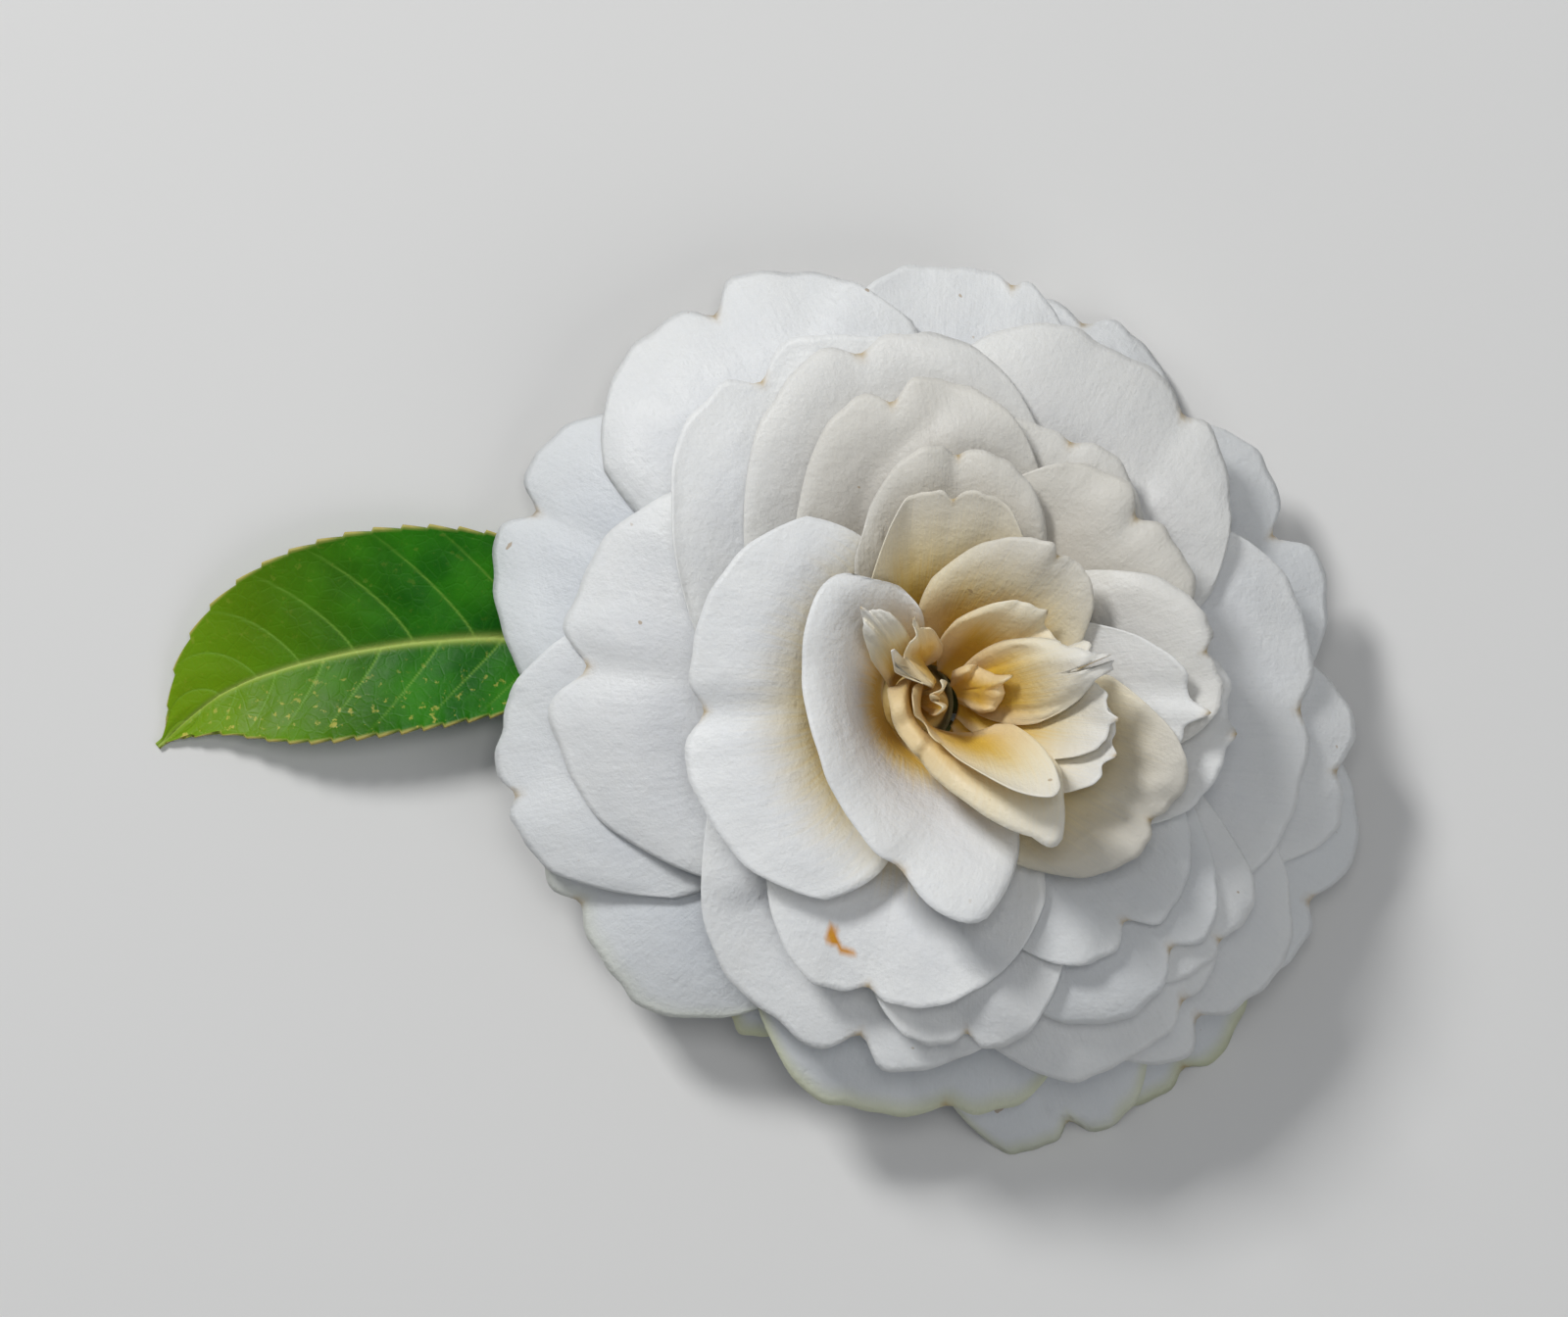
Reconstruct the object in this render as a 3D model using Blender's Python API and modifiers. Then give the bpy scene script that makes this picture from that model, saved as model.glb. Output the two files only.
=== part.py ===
"""A picked camellia bloom with one leaf, lying face up on a flat surface.

The bloom is a stack of thin petals on a leaning cone, the receptacle.  Every petal lies in
the same family of nested cups: level 0 is the flat outermost cup, level 1 the steep innermost
one.  A petal is a sheet whose level changes gently over its face, and each new petal is
lifted clear of the ones under it, so no two petals meet.  Metres, +Z up.
"""
import bpy
import numpy as np

MM = 0.001

# ---- bloom: the nested cups, in millimetres and radians ----
BLOOM_X, BLOOM_Y = 17.9, 0.3          # foot of the bloom's axis
FOOT_HEIGHT = 10.0                    # height where the outermost petals leave the receptacle
FOOT_RADIUS, HEAD_RADIUS = 7.2, 2.3   # where outermost and innermost petals start
HEAD_RISE = 17.0                      # height from the first petal's foot to the last one's
CUP_ARC = 55.0                        # arc length over which a cup turns from start to end slope
START_SLOPE = (27.0, 84.0)            # slope at the foot, outermost and innermost, in degrees
END_SLOPE = (-52.0, 52.0)             # slope at the end of the arc
LEAN = 0.30                           # sideways lean of everything above LEAN_FROM
LEAN_FROM, LEAN_SOFTNESS = 14.0, 5.0

# ---- petals ----
PETAL_THICKNESS = 0.34
PETAL_SPACING = (0.66, 1.00)          # middle surface to middle surface, at the foot and further out
SPACING_ARC = 14.0                    # arc length over which the spacing grows
LONGEST_ARC = (60.0, 22.5)            # longest petal, outermost and innermost level
PETAL_START = 0.8                     # bare stretch next to the receptacle
PETAL_FOOT_WIDTH = 3.4
WIDENING_POWER = 1.15
PETAL_COLUMNS, PETAL_ROWS = 6, 7
DETAIL = 3                            # detailed faces along each side of a coarse one
NOTCH_HALF_WIDTH = 0.13
CORNER_ROUNDING = 0.5                 # how strongly the corners of a hollow-ended petal are cut back


def petal(azimuth, reach, width, level, notch=2.0, notch_at=0.0, skew=0.0, side=0.0, tip=0.0,
          rounding=0.36, power=4.0):
    """One petal's design.

    Azimuth and reach of the tip, full width and level; depth and place (-1 to 1) of the notch;
    how far the outline leans to one side; rise of the side margins and of the tip, in levels;
    and how much, and how suddenly, the tip outline falls back towards the sides.
    """
    return azimuth, reach, width, level, notch, notch_at, skew, side, tip, rounding, power


PETALS = {
    "petal_outer_01": petal(-52, 58.5, 40, 0.00, 1.5, tip=0.032),
    "petal_outer_02": petal(-68, 58.5, 31, 0.02, 2.0, tip=0.005),
    "petal_outer_03": petal(-119, 44.5, 27, 0.00, 1.0),
    "petal_outer_04": petal(61, 53.5, 39, 0.00, 2.0, 0.15, tip=-0.030),
    "petal_outer_05": petal(155, 53.5, 42, 0.04, 3.2, -0.10, skew=-0.06, rounding=0.20),
    "petal_outer_06": petal(-23.5, 58, 43, 0.07, 2.5, -0.1, rounding=0.28),
    "petal_outer_07": petal(-142, 49, 42, 0.03, 2.5, -0.25, rounding=0.28),
    "petal_outer_08": petal(24.5, 53.5, 41, 0.06, 3.5, 0.0, rounding=0.20),
    "petal_outer_09": petal(82, 54, 35, 0.05, 1.8, -0.35, rounding=0.28),
    "petal_outer_10": petal(-89, 51, 44, 0.05, 1.8, 0.2, skew=0.05, rounding=0.28),
    "petal_outer_11": petal(116, 55.5, 43, 0.07, 3.4, 0.0, rounding=0.18),
    "petal_outer_12": petal(-9, 55, 32, 0.09, 1.5),
    "petal_outer_13": petal(-169, 50, 37, 0.07, 1.5, 0.1, rounding=0.28),
    "petal_outer_14": petal(-42, 56, 37, 0.10, 3.5, -0.25, side=0.01, rounding=0.25),
    "petal_middle_01": petal(172, 43.5, 56, 0.13, 4.0, 0.05, side=0.03, tip=-0.03, rounding=0.28),
    "petal_middle_02": petal(-1, 48.5, 52, 0.12, 2.5, 0.0, side=0.03, tip=-0.01, rounding=0.24),
    "petal_middle_03": petal(-57, 50, 40, 0.15, 2.0, 0.35, skew=0.02, side=0.02),
    "petal_middle_04": petal(-106, 43.5, 50, 0.14, 3.5, 0.15, skew=0.08, side=0.02),
    "petal_middle_05": petal(57, 49.5, 46, 0.15, 2.5, -0.35, side=0.02, rounding=0.28),
    "petal_middle_06": petal(117, 46, 48, 0.17, 3.0, 0.0, skew=-0.06, side=0.02),
    "petal_middle_07": petal(-39, 46.5, 26, 0.18, 1.0, side=0.02),
    "petal_middle_08": petal(-51, 44, 36, 0.21, 2.5, 0.2, side=0.02),
    "petal_middle_09": petal(100, 44.5, 42, 0.20, 2.5, 0.05, skew=-0.04, side=0.02),
    "petal_middle_10": petal(-84, 41.5, 27, 0.20, 1.5, side=0.02),
    "petal_middle_11": petal(-47, 36.8, 32, 0.26, 2.5, -0.1, side=0.03),
    "petal_middle_12": petal(63, 36, 36, 0.26, 1.0, side=0.02),
    "petal_middle_13": petal(-104, 36.5, 37, 0.25, 1.5, skew=0.03, side=0.03),
    "petal_middle_14": petal(97, 38.5, 33, 0.27, 2.0, 0.1, skew=-0.05, side=0.03),
    "petal_middle_15": petal(-6, 33.5, 28, 0.32, -1.0, side=0.03, tip=0.01),
    "petal_middle_16": petal(43, 34, 34, 0.31, 2.0, 0.05, side=0.03),
    "petal_middle_17": petal(12, 31.5, 26, 0.37, 1.0, side=0.02),
    "petal_middle_18": petal(182, 31.5, 54, 0.34, 3.0, 0.0, side=0.02, tip=-0.04, rounding=0.14),
    "petal_middle_19": petal(88, 30.5, 25, 0.36, 1.0, side=0.03),
    "petal_inner_01": petal(-2, 26.8, 22, 0.43, -2.5, side=0.03),
    "petal_inner_02": petal(-31, 28, 27, 0.45, 1.0, side=0.02),
    "petal_inner_03": petal(92, 25.5, 19, 0.46, 1.0, side=0.02),
    "petal_inner_04": petal(58, 21.5, 21, 0.52, 1.0, side=0.03),
    "petal_inner_05": petal(-157, 18.5, 76, 0.60, 1.5, 0.60,
                            skew=0.10, side=-0.13, rounding=-0.55, power=2.0),
    "petal_inner_06": petal(139, 16.0, 5, 0.68, -1.5),
    "petal_inner_07": petal(-20, 17, 16, 0.64, -0.8, side=0.02),
    "petal_inner_08": petal(-6, 15.8, 12, 0.68, -1.0, side=0.03),
    "petal_inner_09": petal(47, 14.2, 14, 0.64, -1.0, side=0.05),
    "petal_inner_10": petal(20, 13.5, 11, 0.74, -1.0, side=0.03),
    "petal_inner_11": petal(-127, 8.6, 44, 0.84, 0.5,
                            skew=0.50, side=-0.12, rounding=-0.9, power=2.0),
    "petal_inner_12": petal(-127, 6.3, 32, 0.94, 0.5,
                            skew=0.35, side=-0.10, rounding=-0.8, power=2.0),
    "petal_inner_13": petal(30, 5.8, 8, 0.90, -1.0, side=0.02),
    "petal_inner_14": petal(122, 10.0, 6.5, 0.72, -2.0, side=0.02),
    "petal_inner_15": petal(168, 4.2, 7, 1.00, -1.0),
}


# ---- cups ----
def blend(pair, level, power=1.0):
    """Value between a pair, from the outermost to the innermost level."""
    return pair[0] + (pair[1] - pair[0]) * np.where(level > 0, np.abs(level) ** power, level)


def cup_terms(level):
    """Start radius, start height, start slope and bend per millimetre of a cup."""
    level = np.asarray(level, float)
    radius = FOOT_RADIUS + (HEAD_RADIUS - FOOT_RADIUS) * level
    height = FOOT_HEIGHT + HEAD_RISE * level
    start = np.radians(blend(START_SLOPE, level, 0.85))
    end = np.radians(blend(END_SLOPE, level, 0.85))
    return radius, height, start, (start - end) / CUP_ARC


def cup_point(level, arc):
    """Radius and height at an arc length along a cup, a circular arc that flattens outwards."""
    radius, height, start, bend = cup_terms(level)
    slope = start - bend * arc
    out = radius + (np.sin(start) - np.sin(slope)) / bend
    up = height + (np.cos(slope) - np.cos(start)) / bend
    return out, up


def arc_at_radius(level, reach):
    """Arc length at which a cup comes out to a radius."""
    radius, _, start, bend = cup_terms(level)
    sine = np.clip(np.sin(start) - bend * (reach - radius), -0.999, 0.999)
    return (start - np.arcsin(sine)) / bend


def layer_step(level, arc):
    """Change of level that moves a sheet by one petal's spacing, square to the cup."""
    small = 0.01
    spacing = PETAL_SPACING[0] + (PETAL_SPACING[1] - PETAL_SPACING[0]) * np.minimum(arc / SPACING_ARC, 1.0)
    radius_a, height_a = cup_point(level, arc)
    radius_b, height_b = cup_point(level + small, arc)
    _, _, start, bend = cup_terms(level)
    slope = start - bend * arc
    rise = (np.cos(slope) * (height_b - height_a) - np.sin(slope) * (radius_b - radius_a)) / small
    return spacing / np.maximum(rise, 8.0)


def soft_max(a, b, softness):
    """The larger of two values, rounded off where they cross, never under either."""
    return 0.5 * (a + b + np.sqrt((a - b) ** 2 + softness ** 2))


# ---- lift map: the highest level used so far at each azimuth and arc length ----
MAP_AZIMUTHS, MAP_ARCS, MAP_ARC_STEP = 180, 72, 1.0
ARC_SPREAD, SPREAD_CELLS, SMOOTH_CELLS = 2, 1, 1
NEAR_SPREAD, NEAR_ARC = 3, 20.0       # wider spread round the axis close to the foot


def spread(grid, cells, axis):
    """Grow the map's high places by some cells along one axis."""
    return np.max([shifted(grid, step, axis) for step in range(-cells, cells + 1)], axis=0)


def spread_and_smooth(grid):
    """Grow the map's high places a little, more round the axis near the foot, then soften."""
    near = np.clip(1.0 - np.arange(MAP_ARCS) * MAP_ARC_STEP / NEAR_ARC, 0.0, 1.0)[None, :]
    grown = spread(grid, ARC_SPREAD, 1)
    grown = near * spread(grown, NEAR_SPREAD, 0) + (1 - near) * spread(grown, SPREAD_CELLS, 0)
    for axis in (0, 1):
        stack = [shifted(grown, step, axis) for step in range(-SMOOTH_CELLS, SMOOTH_CELLS + 1)]
        grown = np.mean(stack, axis=0)
    return np.maximum(grown, grid)


def shifted(grid, step, axis):
    """The map moved by some cells: round the axis for azimuth, held at the ends for arc."""
    if axis == 0:
        return np.roll(grid, step, axis=0)
    index = np.clip(np.arange(grid.shape[1]) - step, 0, grid.shape[1] - 1)
    return grid[:, index]


def read_map(grid, azimuth, arc):
    """Bilinear reading of the map."""
    u = np.mod(azimuth / (2 * np.pi), 1.0) * MAP_AZIMUTHS
    v = np.clip(arc / MAP_ARC_STEP, 0, MAP_ARCS - 1.001)
    i, j = np.floor(u).astype(int), np.floor(v).astype(int)
    fu, fv = u - i, v - j
    i, k = i % MAP_AZIMUTHS, (i + 1) % MAP_AZIMUTHS
    low = grid[i, j] * (1 - fu) + grid[k, j] * fu
    high = grid[i, j + 1] * (1 - fu) + grid[k, j + 1] * fu
    return low * (1 - fv) + high * fv


def petal_sheet(spec, lifted, columns, rows):
    """Azimuth, arc length and level of a petal's middle surface on a grid.

    Across runs q from -1 to 1, along runs t from 0 to 1.  The tip outline falls away as |q| to a
    power, less a narrow notch; where it rises towards the sides instead, the corners are cut
    back.  The half width grows from the foot and is full past the middle.
    """
    azimuth, reach, width, level, notch, notch_at, skew, side_rise, tip_rise, rounding, power = spec
    q = np.linspace(-1.0, 1.0, columns + 1)[:, None]
    t = np.linspace(0.0, 1.0, rows + 1)[None, :]
    foot = FOOT_RADIUS * (1 - level)
    end = foot + (reach - foot) * (1 - rounding * np.abs(q) ** power) * (1 + skew * q)
    end = end - notch * np.exp(-((q - notch_at) / NOTCH_HALF_WIDTH) ** 2)
    end = end - CORNER_ROUNDING * max(-rounding, 0.0) * reach * np.abs(q) ** 10
    wanted = level + side_rise * q ** 2 * t + tip_rise * t ** 3
    widening = np.sin(0.5 * np.pi * t ** WIDENING_POWER)
    half_width = 0.5 * (PETAL_FOOT_WIDTH + (width - PETAL_FOOT_WIDTH) * widening)
    current = wanted + 0.0 * q
    for _ in range(4):
        last = np.minimum(arc_at_radius(current[:, -1:], end), blend(LONGEST_ARC, current[:, -1:]))
        arc = PETAL_START + t * (last - PETAL_START)
        radius, _ = cup_point(current, arc)
        around = np.radians(azimuth) + q * half_width / np.maximum(radius, np.maximum(5.0, 0.38 * width * t))
        floor = read_map(lifted, around, arc)
        current = soft_max(wanted, floor + layer_step(floor, arc), 0.006)
    return around, arc, current


def coarse_sheet(spec, lifted):
    """A petal with few faces that stays above its own detailed sheet.

    Each corner takes the highest level within one coarse face of it, so that the flat faces
    between the corners can't dip under the detailed sheet.
    """
    around, arc, level = petal_sheet(spec, lifted, PETAL_COLUMNS * DETAIL, PETAL_ROWS * DETAIL)
    padded = np.pad(level, DETAIL, mode="edge")
    count_across, count_along = level.shape
    windows = [padded[i:i + count_across, j:j + count_along]
               for i in range(2 * DETAIL + 1) for j in range(2 * DETAIL + 1)]
    highest = np.max(windows, axis=0)
    return around[::DETAIL, ::DETAIL], arc[::DETAIL, ::DETAIL], highest[::DETAIL, ::DETAIL]


def add_to_map(grid, around, arc, level):
    """Record a petal's level in the map, from the grid refined between its points."""
    fine = 10
    for axis in (0, 1):
        count = (around.shape[axis] - 1) * fine + 1
        at = np.linspace(0, around.shape[axis] - 1, count)
        low = np.minimum(at.astype(int), around.shape[axis] - 2)
        part = at - low
        shape = (-1, 1) if axis == 0 else (1, -1)
        mix = part.reshape(shape)
        around, arc, level = [np.take(a, low, axis) * (1 - mix) + np.take(a, low + 1, axis) * mix
                              for a in (around, arc, level)]
    i = np.floor(np.mod(around / (2 * np.pi), 1.0) * MAP_AZIMUTHS).astype(int) % MAP_AZIMUTHS
    j = np.clip(np.floor(arc / MAP_ARC_STEP).astype(int), 0, MAP_ARCS - 1)
    for di in (0, 1):
        for dj in (0, 1):
            np.maximum.at(grid, ((i + di) % MAP_AZIMUTHS, np.minimum(j + dj, MAP_ARCS - 1)), level)


def lean(x, y, z):
    """Lean the bloom: what is above LEAN_FROM moves along +X in proportion to its height."""
    over = z - LEAN_FROM
    return x + LEAN * 0.5 * (over + np.sqrt(over ** 2 + LEAN_SOFTNESS ** 2)), y, z


def petal_points(around, arc, level):
    """Points of the middle surface: the cup, then leaned."""
    radius, height = cup_point(level, arc)
    x, y, z = lean(radius * np.cos(around), radius * np.sin(around), height)
    return np.stack([x + BLOOM_X, y + BLOOM_Y, z], axis=-1)


def bloom_sheets():
    """Every petal's middle surface, outermost first, each lifted over the ones before it."""
    grid = np.full((MAP_AZIMUTHS, MAP_ARCS), -0.2)
    sheets = {}
    for name, spec in PETALS.items():
        around, arc, level = coarse_sheet(spec, spread_and_smooth(grid))
        add_to_map(grid, around, arc, level)
        sheets[name] = petal_points(around, arc, level)
    return sheets


# ---- leaf, in plan, millimetres ----
LEAF_MIDRIB = ((-14.5, 6.5, 3.4), (-27.0, 8.2, 3.2), (-42.0, 7.6, 3.0), (-56.0, 5.0, 2.6), (-66.0, 1.2, 1.4),
               (-73.9, -5.2, 0.35))   # from the leaf's foot to its tip
LEAF_UPPER_WIDTH, LEAF_LOWER_WIDTH = 14.6, 10.8
LEAF_UPPER_RISE, LEAF_LOWER_RISE = 1.6, 4.4
LEAF_THICKNESS = 0.5
LEAF_ROWS, LEAF_COLUMNS = 22, 8
PETIOLE_ROUTE = ((-14.0, 6.45, 3.4), (-9.5, 5.7, 3.85), (-5.4, 4.4, 4.2))
PETIOLE_RADIUS = 1.1


def smooth_route(points, count):
    """Points along a Catmull-Rom curve through a few route points."""
    knots = np.array(points, float)
    padded = np.vstack([2 * knots[0] - knots[1], knots, 2 * knots[-1] - knots[-2]])
    along = np.linspace(0, len(knots) - 1, count)
    piece = np.minimum(along.astype(int), len(knots) - 2)
    u = (along - piece)[:, None]
    a, b, c, d = (padded[piece + step] for step in range(4))
    bend = (2 * a - 5 * b + 4 * c - d) * u ** 2 + (3 * b - a - 3 * c + d) * u ** 3
    return 0.5 * (2 * b + (c - a) * u + bend)


def leaf_sheet(rows, columns):
    """Leaf blade: the midrib carried sideways by an ovate width, both halves rising outwards."""
    rib = smooth_route(LEAF_MIDRIB, rows + 1)
    t = np.linspace(0.0, 1.0, rows + 1)
    outline = np.sin(np.pi * t ** 0.86) ** (0.72 + 0.6 * t ** 5)
    outline[0], outline[-1] = 0.055, 0.02
    step = np.gradient(rib, axis=0)[:, :2]
    side = np.stack([step[:, 1], -step[:, 0]], axis=-1) / np.linalg.norm(step, axis=1, keepdims=True)
    q = np.linspace(-1.0, 1.0, columns + 1)
    width = np.where(q > 0, LEAF_UPPER_WIDTH, LEAF_LOWER_WIDTH)
    rise = np.where(q > 0, LEAF_UPPER_RISE, LEAF_LOWER_RISE)
    across = outline[:, None] * (q * width)[None, :]
    up = outline[:, None] * (rise * np.abs(q) ** 1.3)[None, :]
    x = rib[:, None, 0] + across * side[:, None, 0]
    y = rib[:, None, 1] + across * side[:, None, 1]
    return np.stack([x, y, rib[:, None, 2] + up], axis=-1)


# ---- stem end and calyx ----
TWIG_ROUTE = ((16.6, 0.4, 3.1), (13.5, 1.0, 2.2), (8.0, 2.0, 1.95), (1.0, 3.0, 1.9), (-6.0, 2.4, 1.85),
              (-13.0, 0.4, 1.8))
TWIG_RADIUS = 1.75
RECEPTACLE_PROFILE = ((0.0, 28.4), (1.2, 27.8), (1.8, 26.0), (6.3, 9.6), (5.6, 7.6), (3.4, 6.2), (2.2, 5.1),
                      (0.0, 4.9))     # radius and height, from the top down
SEPAL_COUNT = 5
SEPAL_ARC = (4.6, 13.5)               # inner and outer radius of a sepal
SEPAL_HEIGHTS = (5.6, 8.9)
SEPAL_HALF_ANGLE = 33.0
SEPAL_THICKNESS = 0.6
SEPAL_TURN = 20.0


def sepal_sheet(number, across, along):
    """A bract under the bloom: part of a shallow bowl with a rounded outer edge."""
    q = np.linspace(-1.0, 1.0, across + 1)[:, None]
    t = np.linspace(0.0, 1.0, along + 1)[None, :]
    middle = np.radians(SEPAL_TURN + number * 360.0 / SEPAL_COUNT)
    reach = SEPAL_ARC[1] - 3.2 * q ** 2
    radius = SEPAL_ARC[0] + t * (reach - SEPAL_ARC[0])
    angle = middle + q * np.radians(SEPAL_HALF_ANGLE) * (1 - 0.25 * t ** 2)
    rise = (radius - SEPAL_ARC[0]) / (SEPAL_ARC[1] - SEPAL_ARC[0])
    height = SEPAL_HEIGHTS[0] + (SEPAL_HEIGHTS[1] - SEPAL_HEIGHTS[0]) * rise ** 0.8
    x, y, z = lean(radius * np.cos(angle), radius * np.sin(angle), height)
    return np.stack([x + BLOOM_X, y + BLOOM_Y, z + 0.0 * x], axis=-1)


# ---- scene objects ----
def clear_scene():
    """Remove every object that the file opened with."""
    for thing in list(bpy.data.objects):
        bpy.data.objects.remove(thing, do_unlink=True)


def make_material(name, colour, roughness):
    """One piece's own material."""
    material = bpy.data.materials.new(name)
    material.use_nodes = True
    shader = material.node_tree.nodes["Principled BSDF"]
    shader.inputs["Base Color"].default_value = (*colour, 1.0)
    shader.inputs["Roughness"].default_value = roughness
    shader.inputs["Metallic"].default_value = 0.0
    return material


def place(mesh_or_curve, name, collection, colour, roughness):
    """Put data in the scene as a named object with its own material."""
    piece = bpy.data.objects.new(name, mesh_or_curve)
    collection.objects.link(piece)
    piece.data.materials.append(make_material(name + "_finish", colour, roughness))
    return piece


def sheet_mesh(name, points):
    """A smooth open mesh from a grid of points in millimetres."""
    rows, columns, _ = points.shape
    index = np.arange(rows * columns).reshape(rows, columns)
    corners = (index[:-1, :-1], index[1:, :-1], index[1:, 1:], index[:-1, 1:])
    faces = np.stack(corners, axis=-1).reshape(-1, 4)
    mesh = bpy.data.meshes.new(name)
    mesh.from_pydata((points.reshape(-1, 3) * MM).tolist(), [], faces.tolist())
    mesh.shade_smooth()
    return mesh


def add_sheet(name, points, thickness, collection, colour, roughness):
    """A thin closed piece: an open sheet with Solidify on both sides of it."""
    piece = place(sheet_mesh(name, points), name, collection, colour, roughness)
    wall = piece.modifiers.new("thickness", "SOLIDIFY")
    wall.thickness = thickness * MM
    wall.offset = 0.0
    return piece


def add_tube(name, route, radius, end_scale, collection, colour, roughness):
    """A round stem along a smooth route, with filled ends."""
    curve = bpy.data.curves.new(name, "CURVE")
    curve.dimensions = "3D"
    curve.bevel_depth = radius * MM
    curve.bevel_resolution = 3
    curve.use_fill_caps = True
    points = smooth_route(route, 14) * MM
    spline = curve.splines.new("POLY")
    spline.points.add(len(points) - 1)
    for number, (point, place_at) in enumerate(zip(spline.points, points)):
        point.co = (*place_at, 1.0)
        point.radius = 1.0 + (end_scale - 1.0) * number / (len(points) - 1)
    return place(curve, name, collection, colour, roughness)


def add_receptacle(collection):
    """The core that carries the petals: a turned profile, leaned with the bloom."""
    profile = bpy.data.meshes.new("receptacle_profile")
    points = [(radius * MM, 0.0, height * MM) for radius, height in RECEPTACLE_PROFILE]
    profile.from_pydata(points, [(i, i + 1) for i in range(len(points) - 1)], [])
    guide = bpy.data.objects.new("receptacle_guide", profile)
    collection.objects.link(guide)
    turn = guide.modifiers.new("turn", "SCREW")
    turn.steps = turn.render_steps = 24
    turn.use_merge_vertices = True
    turn.merge_threshold = 0.00001
    evaluated = guide.evaluated_get(bpy.context.evaluated_depsgraph_get())
    mesh = bpy.data.meshes.new_from_object(evaluated)
    bpy.data.objects.remove(guide, do_unlink=True)
    spots = np.empty(len(mesh.vertices) * 3)
    mesh.vertices.foreach_get("co", spots)
    x, y, z = (spots.reshape(-1, 3) / MM).T
    x, y, z = lean(x, y, z)
    spots = np.stack([x + BLOOM_X, y + BLOOM_Y, z], axis=-1) * MM
    mesh.vertices.foreach_set("co", spots.ravel())
    mesh.shade_smooth()
    return place(mesh, "receptacle", collection, (0.55, 0.60, 0.28), 0.6)


def petal_colour(level):
    """Cool white outside, a little creamier towards the middle."""
    return (0.80 + 0.06 * level, 0.82 + 0.02 * level, 0.84 - 0.10 * level)


def main():
    """Build the bloom, its calyx, the stem end and the leaf."""
    clear_scene()
    collection = bpy.data.collections.new("camellia")
    bpy.context.scene.collection.children.link(collection)
    for name, points in bloom_sheets().items():
        level = PETALS[name][3]
        add_sheet(name, points, PETAL_THICKNESS, collection, petal_colour(level), 0.5)
    add_receptacle(collection)
    for number in range(SEPAL_COUNT):
        name = f"sepal_{number + 1}"
        add_sheet(name, sepal_sheet(number, 6, 4), SEPAL_THICKNESS, collection, (0.30, 0.34, 0.12), 0.6)
    add_tube("twig", TWIG_ROUTE, TWIG_RADIUS, 0.95, collection, (0.22, 0.15, 0.09), 0.75)
    blade = leaf_sheet(LEAF_ROWS, LEAF_COLUMNS)
    add_sheet("leaf", blade, LEAF_THICKNESS, collection, (0.07, 0.19, 0.03), 0.35)
    add_tube("petiole", PETIOLE_ROUTE, PETIOLE_RADIUS, 1.0, collection, (0.16, 0.26, 0.06), 0.5)


main()
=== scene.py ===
"""Looks of a picked camellia bloom with one leaf, lying face up on a pale floor."""

import bpy
import numpy as np
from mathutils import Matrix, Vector


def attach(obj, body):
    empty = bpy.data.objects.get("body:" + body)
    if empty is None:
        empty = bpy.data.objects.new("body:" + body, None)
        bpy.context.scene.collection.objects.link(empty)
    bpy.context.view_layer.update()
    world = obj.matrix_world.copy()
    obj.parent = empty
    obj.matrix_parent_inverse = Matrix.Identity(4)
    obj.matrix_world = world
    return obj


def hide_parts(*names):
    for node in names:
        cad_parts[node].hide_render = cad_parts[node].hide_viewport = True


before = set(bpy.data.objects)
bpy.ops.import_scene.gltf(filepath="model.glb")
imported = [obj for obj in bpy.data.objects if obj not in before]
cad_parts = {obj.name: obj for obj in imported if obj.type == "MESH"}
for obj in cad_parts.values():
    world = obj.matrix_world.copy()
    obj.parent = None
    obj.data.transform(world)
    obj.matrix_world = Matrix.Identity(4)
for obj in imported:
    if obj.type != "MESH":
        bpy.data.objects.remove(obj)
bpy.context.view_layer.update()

MM = 0.001

# ---- bloom: the nested cups, in millimetres and radians ----
BLOOM_X, BLOOM_Y = 17.9, 0.3          # foot of the bloom's axis
FOOT_HEIGHT = 10.0                    # height where the outermost petals leave the receptacle
FOOT_RADIUS, HEAD_RADIUS = 7.2, 2.3   # where outermost and innermost petals start
HEAD_RISE = 17.0                      # height from the first petal's foot to the last one's
CUP_ARC = 55.0                        # arc length over which a cup turns from start to end slope
START_SLOPE = (27.0, 84.0)            # slope at the foot, outermost and innermost, in degrees
END_SLOPE = (-52.0, 52.0)             # slope at the end of the arc
LEAN = 0.30                           # sideways lean of everything above LEAN_FROM
LEAN_FROM, LEAN_SOFTNESS = 14.0, 5.0

# ---- petals ----
PETAL_SPACING = (0.66, 1.00)          # middle surface to middle surface, at the foot and further out
SPACING_ARC = 14.0                    # arc length over which the spacing grows
LONGEST_ARC = (60.0, 22.5)            # longest petal, outermost and innermost level
PETAL_START = 0.8                     # bare stretch next to the receptacle
PETAL_FOOT_WIDTH = 3.4
WIDENING_POWER = 1.15
NOTCH_HALF_WIDTH = 0.10
CORNER_ROUNDING = 0.5                 # how strongly the corners of a hollow-ended petal are cut back


def petal(azimuth, reach, width, level, notch=2.0, notch_at=0.0, skew=0.0, side=0.0, tip=0.0,
          rounding=0.36, power=4.0):
    """One petal's design.

    Azimuth and reach of the tip, full width and level; depth and place (-1 to 1) of the notch;
    how far the outline leans to one side; rise of the side margins and of the tip, in levels;
    and how much, and how suddenly, the tip outline falls back towards the sides.
    """
    return azimuth, reach, width, level, notch, notch_at, skew, side, tip, rounding, power


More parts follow.
